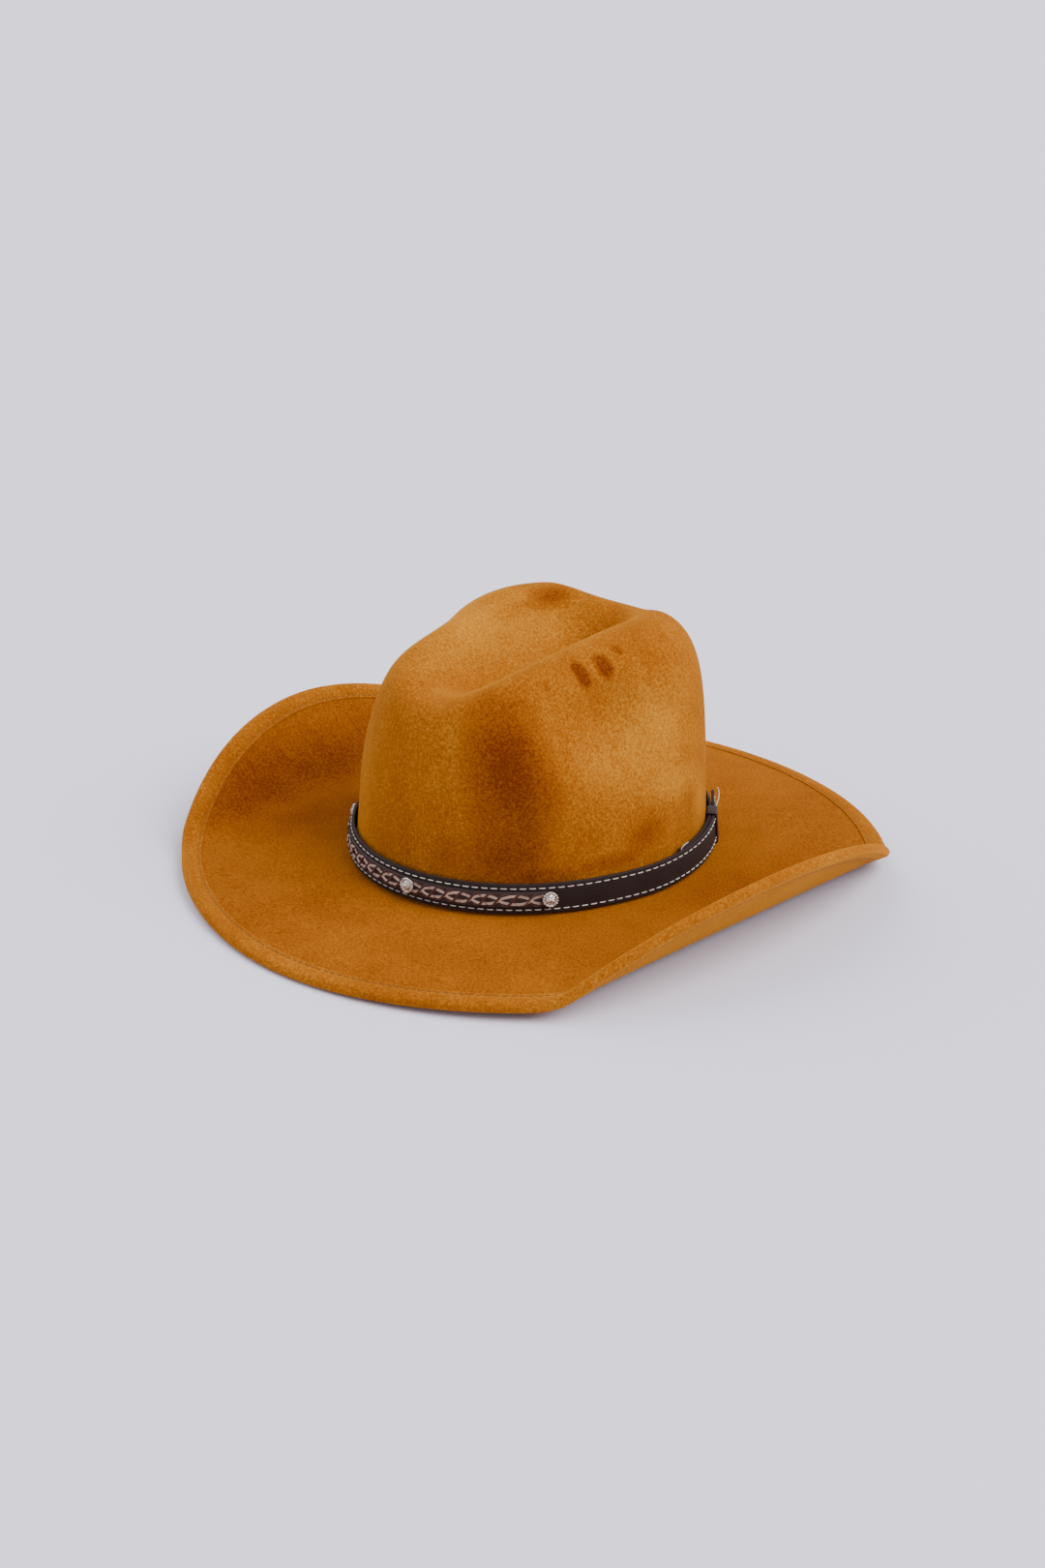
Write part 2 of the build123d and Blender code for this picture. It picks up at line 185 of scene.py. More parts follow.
def oval_reach(turn):
    """distance from the middle to the base oval in the direction turn"""
    east, south = np.abs(np.sin(turn)), np.abs(np.cos(turn))
    corner_x = END_RADIUS * sin(atan2(SIDE_CENTRE, END_CENTRE))
    corner_y = END_RADIUS * cos(atan2(SIDE_CENTRE, END_CENTRE)) + END_CENTRE
    along = -east * SIDE_CENTRE
    side = along + np.sqrt(along**2 - SIDE_CENTRE**2 + SIDE_RADIUS**2)
    along = south * END_CENTRE
    end = along + np.sqrt(along**2 - END_CENTRE**2 + END_RADIUS**2)
    return np.where(east * corner_y > south * corner_x, side, end)


def moved_along_normal(surface, u, v, distance):
    """points of the surface moved along its normals"""
    step = 1e-3
    here = surface(u, v)
    du = surface(u + step, v) - surface(u - step, v)
    dv = surface(u, v + step) - surface(u, v - step)
    normal = np.cross(du, dv)
    normal /= np.linalg.norm(normal, axis=-1, keepdims=True) + 1e-18
    return here + normal * np.asarray(distance)[..., None]


def squareness(turn):
    """how squarely the crown's wall meets its top"""
    return CROWN_SQUARENESS - SQUARER_BACK * np.cos(turn) + SQUARER_ENDS * np.cos(2 * turn)


def crown_top(y):
    """height of the crown's top above the brim, without its crease"""
    front = FRONT_FALL * ease(FRONT_FALL_FROM, FRONT_FALL_TO, y)
    return CROWN_HEIGHT - front - BACK_FALL * ease(BACK_FALL_FROM, BACK_FALL_TO, y)


def crown_surface(turn, rise):
    """outer skin: rise runs from 0 at the base to 1 at the middle of the top"""
    slope = rise * pi / 2
    power = squareness(turn)
    scale = (np.abs(np.cos(slope)) ** power + np.abs(np.sin(slope)) ** power) ** (-1 / power)
    inward, upward = scale * np.cos(slope), scale * np.sin(slope)
    lean = LEAN_MEAN + LEAN_FRONT * np.cos(turn)
    reach = (oval_reach(turn) - lean * upward) * inward
    x, y = reach * np.sin(turn), -reach * np.cos(turn)
    z = crown_top(y) * upward
    window = ease(CREASE_FRONT, CREASE_FRONT_FULL, y) * ease(CREASE_BACK, CREASE_BACK_FULL, y)
    window = window * ease(CREASE_RIM, CREASE_RIM_FULL, upward)
    z = z - CREASE_DEPTH * bell(x, CREASE_HALF_WIDTH, CREASE_BOWL) * window
    tall = bell(z - DENT_HEIGHT, DENT_TALL) * ease(DENT_INSIDE, DENT_OUTSIDE, np.abs(x))
    dent = DENT_DEPTH * bell(y - DENT_Y, DENT_LENGTH) * tall
    dent = dent + PINCH_DEPTH * bell(y - PINCH_Y, PINCH_LENGTH, PINCH_CRISPNESS) * tall
    return np.stack([x - np.sign(x) * dent, y, z + BRIM_LEVEL], -1)


def brim_surface(turn, out):
    """top face of the brim: out runs from 0 at the crown to 1 at the edge"""
    power = BRIM_ROUNDNESS
    rim = np.abs(np.cos(turn) / BRIM_HALF_LENGTH) ** power + np.abs(np.sin(turn) / BRIM_HALF_WIDTH) ** power
    rim = rim ** (-1 / power)
    start = oval_reach(turn) + BRIM_JOIN_GAP
    reach = start + (rim - start) * out
    x, y = reach * np.sin(turn), -reach * np.cos(turn)
    past = np.abs(x) - (ROLL_START + ROLL_FLARE * y)
    rolled = ROLL_SOFTNESS * np.logaddexp(0, past / ROLL_SOFTNESS)
    angle = np.radians(ROLL_ANGLE + ROLL_TWIST * y)
    bent = np.minimum(rolled, ROLL_RADIUS * angle)
    flat = rolled - bent
    across = ROLL_RADIUS * np.sin(bent / ROLL_RADIUS) + flat * np.cos(angle)
    up = ROLL_RADIUS * (1 - np.cos(bent / ROLL_RADIUS)) + flat * np.sin(angle)
    drop = END_DROP * (np.abs(y) / BRIM_HALF_LENGTH) ** END_DROP_POWER * np.sqrt(np.maximum(out, 0.0))
    return np.stack([np.sign(x) * (np.abs(x) - rolled + across), y, BRIM_LEVEL + up - drop], -1)


def brim_at(turn, out, lift):
    return moved_along_normal(brim_surface, turn, out, -np.asarray(lift, float))


def near_edge(turn, inset, lift):
    """points inset from the brim's edge, following its curve, and lift above its top face"""
    inset, lift = np.broadcast_arrays(np.asarray(inset, float), np.asarray(lift, float))
    inward = brim_surface(turn, np.full_like(turn, 1 - EDGE_STEP)) - brim_surface(turn, np.ones_like(turn))
    pitch = np.linalg.norm(inward, axis=-1) / EDGE_STEP
    within = brim_at(turn, 1 - np.maximum(inset, 0) / pitch, lift)
    unit = inward / np.linalg.norm(inward, axis=-1, keepdims=True)
    return within + unit * np.minimum(inset, 0)[..., None]


def wall_point(heading, height, offset):
    """points beside the crown's wall, height above the brim and offset out from the skin"""
    x, y = oval_point(heading, offset)
    turn = np.arctan2(x, -y)
    upward = np.maximum(height, 0.0) / crown_top(y)
    power = squareness(turn)
    inward = (1 - upward**power) ** (1 / power)
    lean = LEAN_MEAN + LEAN_FRONT * np.cos(turn)
    reach = (np.hypot(x, y) - lean * upward) * inward
    return np.stack(np.broadcast_arrays(reach * np.sin(turn), -reach * np.cos(turn), BRIM_LEVEL + height), -1)


def strap_point(heading, height, out):
    """points beside the hatband: height above its lower edge, out from its inner face"""
    low = wall_point(heading, 0.0, STRAP_GAP_LOW)
    high = wall_point(heading, STRAP_LIFT + STRAP_HEIGHT, STRAP_GAP_HIGH)
    share = np.asarray(height / STRAP_HEIGHT)[..., None]
    turn = np.radians(heading)
    facing = np.stack([np.sin(turn), -np.cos(turn), np.zeros_like(turn)], -1)
    step = (STRAP_THICKNESS + LAP_CLEARANCE) * ease(360 + LAP_FROM, 360 + LAP_FULL, heading)
    step = step + TAIL_FLARE * ease(360 + FLARE_FROM, 360 + FLARE_FULL, heading)
    flat = low + (high - low) * share + facing * np.asarray(out + step)[..., None]
    level = np.broadcast_to(BRIM_LEVEL + STRAP_LIFT + height, flat.shape[:-1])
    return np.stack([flat[..., 0], flat[..., 1], level], -1)


# =============================================================== meshes
def link(name, mesh, body, nodes=()):
    piece = bpy.data.objects.new(name, mesh)
    bpy.context.scene.collection.objects.link(piece)
    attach(piece, body)
    if nodes:
        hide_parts(*nodes)
    return piece


def grid_faces(rows, columns, close_rows, close_columns, start=0):
    faces = []
    for r in range(rows if close_rows else rows - 1):
        for c in range(columns if close_columns else columns - 1):
            a, b = r * columns + c, r * columns + (c + 1) % columns
            d, e = (r + 1) % rows * columns + c, (r + 1) % rows * columns + (c + 1) % columns
            faces.append((start + a, start + b, start + e, start + d))
    return faces


def make_mesh(name, points, faces, smooth=True):
    mesh = bpy.data.meshes.new(name)
    mesh.from_pydata([tuple(p) for p in points], [], faces)
    made = bmesh.new()
    made.from_mesh(mesh)
    bmesh.ops.remove_doubles(made, verts=made.verts, dist=1e-7)
    bmesh.ops.recalc_face_normals(made, faces=made.faces)
    made.to_mesh(mesh)
    made.free()
    if smooth:
        mesh.polygons.foreach_set("use_smooth", [True] * len(mesh.polygons))
    return mesh


def ring_mesh(name, rings):
    """closed tube-like skin: rings of points, each ring closed, and the last joined to the first"""
    rows, columns = rings.shape[:2]
    return make_mesh(name, rings.reshape(-1, 3), grid_faces(rows, columns, True, True))


def swept_mesh(name, sections):
    """sections[k] is a closed outline; the ends are capped"""
    rows, columns = sections.shape[:2]
    faces = grid_faces(rows, columns, False, True)
    faces.append(tuple(range(columns)))
    faces.append(tuple((rows - 1) * columns + c for c in range(columns)))
    return make_mesh(name, sections.reshape(-1, 3), faces)


def crown_mesh(name, outer, inner, columns=288, rows=150):
    turn = np.linspace(0, 2 * pi, columns, endpoint=False)
    rise = np.linspace(0, 1, rows) ** 0.9
    rise[-1] = 0.9995
    points, faces = [], []
    for offset in (outer, inner):
        skirt = moved_along_normal(crown_surface, turn, np.zeros_like(turn), np.full_like(turn, -offset))
        feet = [skirt - [0, 0, drop] for drop in (BRIM_THICKNESS, 0.5 * BRIM_THICKNESS)]
        u, v = np.meshgrid(turn, rise)
        shell = moved_along_normal(crown_surface, u, v, np.full_like(u, -offset))
        shell[0] = skirt
        layer = np.concatenate([np.array(feet), shell])
        start = len(points)
        points.extend(layer.reshape(-1, 3))
        faces.extend(grid_faces(rows + 2, columns, False, True, start))
        top = start + (rows + 1) * columns
        faces.append(tuple(top + c for c in range(columns)))
    second = len(points) // 2
    for c in range(columns):
        d = (c + 1) % columns
        faces.append((c, d, second + d, second + c))
    return make_mesh(name, points, faces)


def brim_mesh(name, top, bottom, columns=576, rows=90):
    turn = np.linspace(0, 2 * pi, columns, endpoint=False)
    inward = brim_surface(turn, np.full_like(turn, 1 - EDGE_STEP)) - brim_surface(turn, np.ones_like(turn))
    last = 1 - EDGE_STEP * EDGE_SETBACK / np.linalg.norm(inward, axis=-1)
    share = np.linspace(0, 1, rows)[:, None]
    u, v = np.broadcast_arrays(turn[None, :], last[None, :] * share)
    upper = brim_at(u, v, np.full_like(u, -top))
    lower = brim_at(u, v, np.full_like(u, -bottom))
    return ring_mesh(name, np.concatenate([upper, lower[::-1]]))


# the binding's outside in millimetres: in from the brim's edge, out from the cover's face.
# Its free edge comes first, then the groove that the stitches pull in, then the padded fold.
BINDING_PROFILE = (
    (9.0, 0.25), (8.9, 0.5), (8.5, 0.66), (8.0, 0.6), (7.6, 0.36), (7.2, 0.2), (6.8, 0.28),
    (6.3, 0.55), (5.6, 0.78), (4.7, 0.95), (3.7, 1.05), (2.6, 1.06), (1.6, 0.96),
)


def binding_mesh(name, columns=720):
    low, middle = -BRIM_THICKNESS, -BRIM_THICKNESS / 2
    bead = [(a * MM, b * MM) for a, b in BINDING_PROFILE]
    reach, half = bead[-1][0] + NOSE, bead[-1][1] - middle
    nose = [radians(90 - 180 * k / 14) for k in range(1, 14)]
    outside = bead + [(bead[-1][0] - reach * cos(t), middle + half * sin(t)) for t in nose]
    outside += [(a, low - 0.6 * b) for a, b in bead[::-1]]
    inside = [(BINDING_WIDTH, 0.05 * MM), (4.5 * MM, FOLD_GAP), (0.6 * MM, FOLD_GAP - 0.1 * MM)]
    inside += [(BINDING - NOSE, middle)]
    inside += [(a, low - b) for a, b in inside[2::-1]]
    turn = np.linspace(0, 2 * pi, columns, endpoint=False)
    rings = [near_edge(turn, a, b) for a, b in outside + inside[::-1]]
    return ring_mesh(name, np.array(rings))


def capsule(points, radius, sides=8):
    """sections of a thin rounded strand along points"""
    points = np.asarray(points, float)
    count = len(points)
    along = np.gradient(points, axis=0)
    along /= np.linalg.norm(along, axis=1, keepdims=True)
    up = np.array([0.13, 0.21, 1.0])
    side = np.cross(along, up)
    side /= np.linalg.norm(side, axis=1, keepdims=True)
    third = np.cross(side, along)
    share = np.linspace(-1, 1, count)
    size = radius * np.maximum(1 - np.abs(share) ** 6, 0.05) ** 0.5
    angle = np.linspace(0, 2 * pi, sides, endpoint=False)
    ring = np.cos(angle)[None, :, None] * side[:, None] + np.sin(angle)[None, :, None] * third[:, None]
    return points[:, None] + ring * size[:, None, None]


def strands_mesh(name, strands):
    """many capped strands in one mesh"""
    points, faces = [], []
    for sections in strands:
        rows, columns = sections.shape[:2]
        start = len(points)
        points.extend(sections.reshape(-1, 3))
        faces.extend(grid_faces(rows, columns, False, True, start))
        faces.append(tuple(start + c for c in range(columns)))
        faces.append(tuple(start + (rows - 1) * columns + c for c in range(columns)))
    return make_mesh(name, points, faces)


def stitch_row(route, length, gap, radius, sink):
    """stitches along a finely sampled route; route gives points and outward normals"""
    points, normals = route
    steps = np.linalg.norm(np.diff(points, axis=0), axis=1)
    distance = np.concatenate([[0], np.cumsum(steps)])
    count = int(distance[-1] // (length + gap))
    pitch = distance[-1] / count
    strands = []
    for k in range(count):
        at = (k + np.linspace(0, 1, 7) * length / pitch) * pitch
        line = np.stack([np.interp(at, distance, points[:, i]) for i in range(3)], -1)
        out = np.stack([np.interp(at, distance, normals[:, i]) for i in range(3)], -1)
        arch = radius * 0.55 - sink * np.abs(np.linspace(-1, 1, 7)) ** 3
        strands.append(capsule(line + out * arch[:, None], radius))
    return strands


# =============================================================== materials
class Nodes:
    """short calls for building a node material"""

    def __init__(self, name):
        self.material = bpy.data.materials.new(name)
        self.material.use_nodes = True
        self.tree = self.material.node_tree
        self.shader = self.tree.nodes["Principled BSDF"]
        self.place = self.add("ShaderNodeTexCoord").outputs["Object"]

    def add(self, kind, **values):
        node = self.tree.nodes.new(kind)
        for key, value in values.items():
            setattr(node, key, value)
        return node

    def wire(self, source, target):
        if isinstance(source, bpy.types.NodeSocket):
            self.tree.links.new(source, target)
        else:
            target.default_value = source

    def mapping(self, scale=(1, 1, 1), rotation=(0, 0, 0), source=None):
        node = self.add("ShaderNodeMapping")
        self.wire(source or self.place, node.inputs["Vector"])
        node.inputs["Scale"].default_value = scale
        node.inputs["Rotation"].default_value = rotation
        return node.outputs["Vector"]

    def noise(self, scale, detail=3.0, rough=0.55, source=None, distortion=0.0):
        node = self.add("ShaderNodeTexNoise")
        self.wire(source or self.place, node.inputs["Vector"])
        node.inputs["Scale"].default_value = scale
        node.inputs["Detail"].default_value = detail
        node.inputs["Roughness"].default_value = rough
        node.inputs["Distortion"].default_value = distortion
        return node.outputs["Fac"]

    def ramp(self, source, stops):
        node = self.add("ShaderNodeValToRGB")
        self.wire(source, node.inputs["Fac"])
        band = node.color_ramp
        while len(band.elements) < len(stops):
            band.elements.new(0.5)
        for element, (place, value) in zip(band.elements, stops):
            element.position = place
            element.color = value if len(value) == 4 else (*value, 1)
        return node.outputs["Color"]

    def math(self, operation, a, b=0.0, clamp=False):
        node = self.add("ShaderNodeMath", operation=operation, use_clamp=clamp)
        self.wire(a, node.inputs[0])
        self.wire(b, node.inputs[1])
        return node.outputs[0]

    def mix(self, share, a, b, blend="MIX"):
        node = self.add("ShaderNodeMix", data_type="RGBA", blend_type=blend)
        self.wire(share, node.inputs["Factor"])
        self.wire(a if isinstance(a, bpy.types.NodeSocket) else (*a, 1), node.inputs["A"])
        self.wire(b if isinstance(b, bpy.types.NodeSocket) else (*b, 1), node.inputs["B"])
        return node.outputs["Result"]

    def attribute(self, name):
        return self.add("ShaderNodeAttribute", attribute_name=name).outputs["Fac"]

    def bump(self, height, strength, distance, normal=None):
        node = self.add("ShaderNodeBump")
        self.wire(height, node.inputs["Height"])
        node.inputs["Strength"].default_value = strength
        node.inputs["Distance"].default_value = distance
        if normal:
            self.wire(normal, node.inputs["Normal"])
        return node.outputs["Normal"]

    def spot(self, middle, sizes, ragged, crispness):
        """1 inside an oval patch given in millimetres, falling to 0 at its edge"""
        scale = [1000 / size for size in sizes]
        node = self.add("ShaderNodeMapping")
        self.wire(self.place, node.inputs["Vector"])
        node.inputs["Scale"].default_value = scale
        node.inputs["Location"].default_value = [-m / size for m, size in zip(middle, sizes)]
        length = self.add("ShaderNodeVectorMath", operation="LENGTH")
        self.wire(node.outputs["Vector"], length.inputs[0])
        edge = self.math("ADD", length.outputs["Value"], ragged)
        return self.math("MULTIPLY", self.math("SUBTRACT", 1.0, edge), crispness, clamp=True)

    def finish(self, colour, roughness, normal=None, **constants):
        plain = not isinstance(colour, bpy.types.NodeSocket)
        self.wire((*colour, 1) if plain else colour, self.shader.inputs["Base Color"])
        self.wire(roughness, self.shader.inputs["Roughness"])
        if normal:
            self.wire(normal, self.shader.inputs["Normal"])
        for key, value in constants.items():
            self.shader.inputs[key.replace("_", " ")].default_value = value
        return self.material


GOLD_DARK = (0.140, 0.022, 0.0008)
GOLD_MID = (0.320, 0.092, 0.0045)
GOLD_LIGHT = (0.600, 0.260, 0.0220)

# places where the nap was pressed or stroked, and patches of painted light and shade: middle and half sizes
# in millimetres, how much darker (-) or lighter (+), how crisp the edge is
NAP_MARKS_AND_PAINTED_LIGHT = (
    # marks in the nap, pressed or stroked
    ((53.0, -17.0, 123.0), (10.0, 4.6, 10.0), -0.22, 2.2),
    ((56.0, -4.0, 124.5), (10.0, 5.4, 9.5), -0.22, 2.2),
    ((55.0, 7.5, 130.0), (6.0, 3.2, 3.2), -0.12, 2.0),
    ((50.0, -38.0, 121.0), (6.0, 3.4, 4.0), -0.08, 1.5),
    ((-30.0, 47.0, 131.0), (12.0, 22.0, 8.0), -0.22, 1.0),
    ((-32.0, 20.0, 128.0), (8.0, 18.0, 7.0), -0.12, 1.0),
    ((-48.0, -66.0, 116.0), (12.0, 16.0, 8.0), -0.16, 1.2),
    ((84.0, 20.0, 60.0), (12.0, 34.0, 12.0), 0.14, 1.2),
    ((82.0, 44.0, 44.0), (12.0, 18.0, 18.0), 0.14, 1.2),
    ((88.0, -8.0, 42.0), (10.0, 18.0, 10.0), -0.14, 1.2),
    ((84.0, -30.0, 33.0), (12.0, 28.0, 6.0), -0.12, 1.5),
    ((70.0, -62.0, 29.0), (16.0, 26.0, 6.0), -0.10, 1.5),
    # painted shade on the crown's wall between its front and its left dent, high and low
    ((54.0, -70.0, 86.0), (34.0, 26.0, 66.0), -0.22, 1.2),
    ((52.0, -78.0, 34.0), (50.0, 40.0, 22.0), -0.10, 1.2),
    # painted light on the crown's top and in its left dent
    ((-20.0, -10.0, 128.0), (46.0, 90.0, 34.0), 0.16, 1.2),
    ((82.0, 6.0, 94.0), (26.0, 60.0, 44.0), 0.13, 1.4),
    # painted shade where the brim turns up at the right and on the right roll
    ((-110.0, -60.0, 11.0), (30.0, 60.0, 14.0), -0.08, 1.0),
    ((-152.0, -30.0, 20.0), (30.0, 100.0, 24.0), -0.09, 1.0),
    # painted light on the front of the brim
    ((47.0, -150.0, 9.0), (70.0, 26.0, 10.0), 0.05, 1.0),
    # painted shade on the brim between the crown and its left roll
    ((120.0, 20.0, 12.0), (24.0, 80.0, 14.0), -0.07, 1.0),
)
# marks crisper than this have a ragged edge too
RAGGED_ABOVE = 1.45


def suede_material(name="suede", with_marks_and_painted_light=True, base=0.0):
    """brushed nap: fine fibres, cloudy light and dark where it was stroked, pressed marks, and patches of
    painted light and shade
    """
    n = Nodes(name)
    cloud = n.noise(11, 4, 0.6, distortion=0.5)
    brushed = n.noise(55, 4, 0.7, source=n.mapping((1, 1, 0.4)))
    grain = n.noise(760, 3, 0.65)
    fibre = n.noise(1500, 2, 0.6)
    tone = n.math("ADD", n.math("MULTIPLY", cloud, 0.24), n.math("MULTIPLY", brushed, 0.16))
    tone = n.math("ADD", tone, n.math("MULTIPLY", grain, 0.60))
    tone = n.math("ADD", tone, base)
    # pressed and stroked nap marks, and patches of painted light and shade
    if with_marks_and_painted_light:
        ragged = n.math("MULTIPLY", n.math("SUBTRACT", n.noise(150, 4, 0.7), 0.5), 0.9)
        for middle, sizes, shift, crispness in NAP_MARKS_AND_PAINTED_LIGHT:
            wobble = ragged if crispness > RAGGED_ABOVE else 0.0
            spot = n.math("MULTIPLY", n.spot(middle, sizes, wobble, crispness), shift)
            tone = n.math("ADD", tone, spot)
    colour = n.ramp(tone, [(0.26, GOLD_DARK), (0.50, GOLD_MID), (0.78, GOLD_LIGHT)])
    height = n.math("ADD", n.math("MULTIPLY", grain, 0.6), n.math("MULTIPLY", fibre, 0.4))
    normal = n.bump(height, 0.6, 0.0007)
    return n.finish(
        colour, 0.95, normal, Sheen_Weight=0.5, Sheen_Roughness=0.40, Sheen_Tint=(1.0, 0.46, 0.04, 1),
        Specular_IOR_Level=0.05,
    )


def cloth_material(name, dark, light, threads=1400, roughness=0.85, sheen=0.0):
    n = Nodes(name)
    weave = n.add("ShaderNodeTexWave", wave_type="BANDS", bands_direction="DIAGONAL")
    n.wire(n.place, weave.inputs["Vector"])
    weave.inputs["Scale"].default_value = threads
    weave.inputs["Distortion"].default_value = 0.4
    cloud = n.noise(30, 3)
    share = n.math("ADD", n.math("MULTIPLY", weave.outputs["Fac"], 0.35), n.math("MULTIPLY", cloud, 0.65))
    colour = n.mix(share, dark, light)
    normal = n.bump(weave.outputs["Fac"], 0.25, 0.0002)
    return n.finish(colour, roughness, normal, Sheen_Weight=sheen)


def leather_material(name, dark, light, grain=900, roughness=0.42, coat=0.15):
    n = Nodes(name)
    cells = n.add("ShaderNodeTexVoronoi", feature="SMOOTH_F1")
    n.wire(n.place, cells.inputs["Vector"])
    cells.inputs["Scale"].default_value = grain
    cloud = n.noise(70, 4, 0.6)
    edge_wear_and_highlight = n.attribute("edge_wear_and_highlight")
    colour = n.mix(cloud, dark, light)
    # lighter near the marked edges: rubbed edge wear and a painted highlight
    rubbed_and_highlit = n.math("MULTIPLY", edge_wear_and_highlight, n.math("ADD", 0.4, cloud), clamp=True)
    colour = n.mix(rubbed_and_highlit, colour, tuple(1.7 * c + 0.004 for c in light))
    rough = n.math("ADD", roughness - 0.08, n.math("MULTIPLY", cloud, 0.2))
    normal = n.bump(n.math("ADD", cells.outputs["Distance"], n.math("MULTIPLY", cloud, 0.3)), 0.35, 0.00025)
    return n.finish(colour, rough, normal, Coat_Weight=coat, Coat_Roughness=0.35, Specular_IOR_Level=0.22)


def thread_material(name, colour, twist=3000):
    n = Nodes(name)
    ply = n.add("ShaderNodeTexWave", wave_type="BANDS", bands_direction="DIAGONAL")
    n.wire(n.place, ply.inputs["Vector"])
    ply.inputs["Scale"].default_value = twist
    shade = n.mix(ply.outputs["Fac"], tuple(0.72 * c for c in colour), colour)
    shade = n.mix(n.math("MULTIPLY", n.noise(220, 3), 0.5), shade, tuple(0.6 * c for c in colour))
    return n.finish(shade, 0.7, n.bump(ply.outputs["Fac"], 0.4, 0.0001))


def metal_material(name, colour, roughness):
    n = Nodes(name)
    tarnish = n.noise(900, 4, 0.6)
    shade = n.ramp(tarnish, [(0.3, tuple(0.35 * c for c in colour)), (0.62, colour)])
    rough = n.math("ADD", roughness, n.math("MULTIPLY", n.noise(500, 3), 0.25))
    return n.finish(shade, rough, n.bump(tarnish, 0.15, 0.0001), Metallic=1.0)


def paint(piece, name, values):
    """a value for each vertex, read by the material"""
    layer = piece.data.attributes.new(name, "FLOAT", "POINT")
    layer.data.foreach_set("value", np.asarray(values, np.float32))


def places(piece):
    flat = np.empty(len(piece.data.vertices) * 3)
    piece.data.vertices.foreach_get("co", flat)
    return flat.reshape(-1, 3)


def dress(piece, material):
    piece.data.materials.clear()
    piece.data.materials.append(material)


# the crown's and the brim's suede carry the nap marks and the patches of painted light and shade
SUEDE_LOOK = suede_material()
BRIM_LOOK = suede_material("suede_brim", True, -0.08)
BINDING_LOOK = suede_material("suede_binding", False, 0.0)
UNDER_LOOK = suede_material("suede_under", False, -0.08)
BOARD_LOOK = cloth_material("stiffener", (0.62, 0.58, 0.5), (0.86, 0.83, 0.76))
SATIN_LOOK = cloth_material("satin", (0.42, 0.30, 0.16), (0.62, 0.47, 0.28), 1600, 0.38, 0.3)
SWEAT_LOOK = leather_material("sweat_leather", (0.05, 0.026, 0.014), (0.11, 0.06, 0.032))
STRAP_DARK, STRAP_LIGHT = (0.0045, 0.0022, 0.002), (0.012, 0.006, 0.0055)
KEEPER_DARK, KEEPER_LIGHT = (0.022, 0.010, 0.008), (0.045, 0.022, 0.018)
STRAP_LOOK = leather_material("strap_leather", STRAP_DARK, STRAP_LIGHT, 1100, 0.62, 0.0)
KEEPER_LOOK = leather_material("keeper_leather", KEEPER_DARK, KEEPER_LIGHT, 700, 0.42, 0.05)
WHITE_THREAD = thread_material("white_thread", (0.74, 0.68, 0.62))
BROWN_THREAD = thread_material("brown_thread", (0.30, 0.115, 0.012))
CREAM_HAIR = thread_material("horsehair_cream", (0.66, 0.46, 0.36), 1800)
BROWN_HAIR = thread_material("horsehair_brown", (0.085, 0.022, 0.015), 1800)
BED_HAIR = cloth_material("horsehair_bed", (0.008, 0.003, 0.003), (0.04, 0.012, 0.009), 1100, 0.6)
STUD_LOOK = metal_material("stud_metal", (0.80, 0.74, 0.68), 0.18)
WIRE_LOOK = metal_material("brim_wire", (0.5, 0.5, 0.52), 0.3)

# =============================================================== crown
LINING_OUTSIDE = SUEDE + LAYER_GAP + BUCKRAM + LINING_GAP
crown = link("crown_cover_suede", crown_mesh("crown_cover", 0.0, SUEDE), "hat", ["crown_cover"])
dress(crown, SUEDE_LOOK)
stiffener = crown_mesh("crown_stiffener", SUEDE + LAYER_GAP, SUEDE + LAYER_GAP + BUCKRAM, 144, 70)
dress(link("crown_stiffener_buckram", stiffener, "hat", ["crown_stiffener"]), BOARD_LOOK)
lining_mesh = crown_mesh("crown_lining", LINING_OUTSIDE, LINING_OUTSIDE + SATIN, 192, 90)
lining = link("crown_lining_satin", lining_mesh, "hat", ["crown_lining"])
dress(lining, SATIN_LOOK)

for label, top, bottom, slot, look in (
    ("top_cover", 0.0, COVER, "suede", BRIM_LOOK),
    ("core", COVER + LAYER_GAP, BRIM_THICKNESS - COVER - LAYER_GAP, "stiffener", BOARD_LOOK),
    ("under_cover", BRIM_THICKNESS - COVER, BRIM_THICKNESS, "suede", UNDER_LOOK),
):
    columns, rows = (360, 40) if label == "core" else (576, 110)
    mesh = brim_mesh("brim_" + label, top, bottom, columns, rows)
    piece = link("brim_" + label + "_cloth", mesh, "hat", ["brim_" + label])
    dress(piece, look)

binding = link("brim_binding_cloth", binding_mesh("brim_binding"), "hat", ["brim_binding"])
dress(binding, BINDING_LOOK)
fine = np.linspace(0, 2 * pi, 1441)
around = np.linspace(0, 2 * pi, 12, endpoint=False)
wire = []
for angle in around:
    inset, lift = WIRE_INSET + WIRE_RADIUS * cos(angle), WIRE_RADIUS * sin(angle) - BRIM_THICKNESS / 2
    wire.append(near_edge(fine[:-1:2], inset, lift))
wire_mesh = ring_mesh("brim_wire", np.array(wire))
dress(link("brim_wire_round", wire_mesh, "hat", ["brim_wire"]), WIRE_LOOK)
for label, lift, sign in (("top", STITCH_LIFT_TOP, 1), ("bottom", -BRIM_THICKNESS - STITCH_LIFT_BOTTOM, -1)):
    line = near_edge(fine, STITCH_INSET, lift)
    normal = near_edge(fine, STITCH_INSET, lift + sign * MM) - line
    row = stitch_row((line, normal / MM), length=3.2 * MM, gap=0.9 * MM, radius=0.28 * MM, sink=0.4 * MM)
    node = "binding_stitching_" + label
    dress(link(node + "_thread", strands_mesh(node, row), "hat", [node]), BROWN_THREAD)

# =============================================================== sweatband
SWEAT_OUTSIDE = LINING_OUTSIDE + SATIN + SWEAT_GAP
SWEAT_INSIDE = SWEAT_OUTSIDE + SWEAT_THICKNESS


def wall_ring(offset, height, columns):
    return wall_point(np.linspace(0, 360, columns, endpoint=False), height, -offset)


